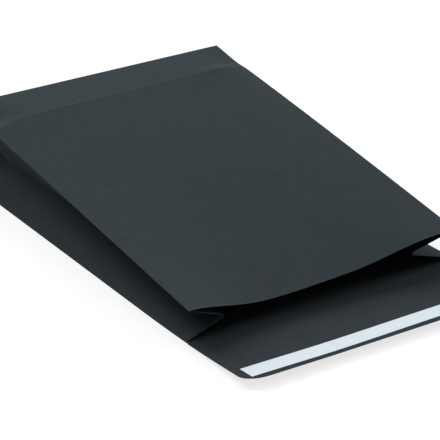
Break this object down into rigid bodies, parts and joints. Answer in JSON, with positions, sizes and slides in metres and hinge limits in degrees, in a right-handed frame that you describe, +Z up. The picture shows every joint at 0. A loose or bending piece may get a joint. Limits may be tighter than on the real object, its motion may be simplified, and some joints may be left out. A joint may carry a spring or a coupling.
{
  "type": "expanding paper envelope",
  "caption": "Square-bottom paper envelope with pleated side gussets, lying open with its mouth sagging and its peel-and-seal flap folded out.",
  "frame": {"origin": "on the table plane, midway across the envelope and midway between the flap's free edge and the base", "axes": "+Y along the envelope from its mouth to its closed base, +Z up out of the table, +X to the right seen from the flap"},
  "size_m": [0.25, 0.406, 0.068],
  "materials": {
    "charcoal_paper": "matt uncoated kraft",
    "seal_glue": "tacky",
    "release_liner": "smooth silicone coated"
  },
  "bodies": {
    "root": {"paper_sheet": "charcoal_paper", "seal_glue": "seal_glue", "release_liner": "release_liner"}
  },
  "joints": []
}
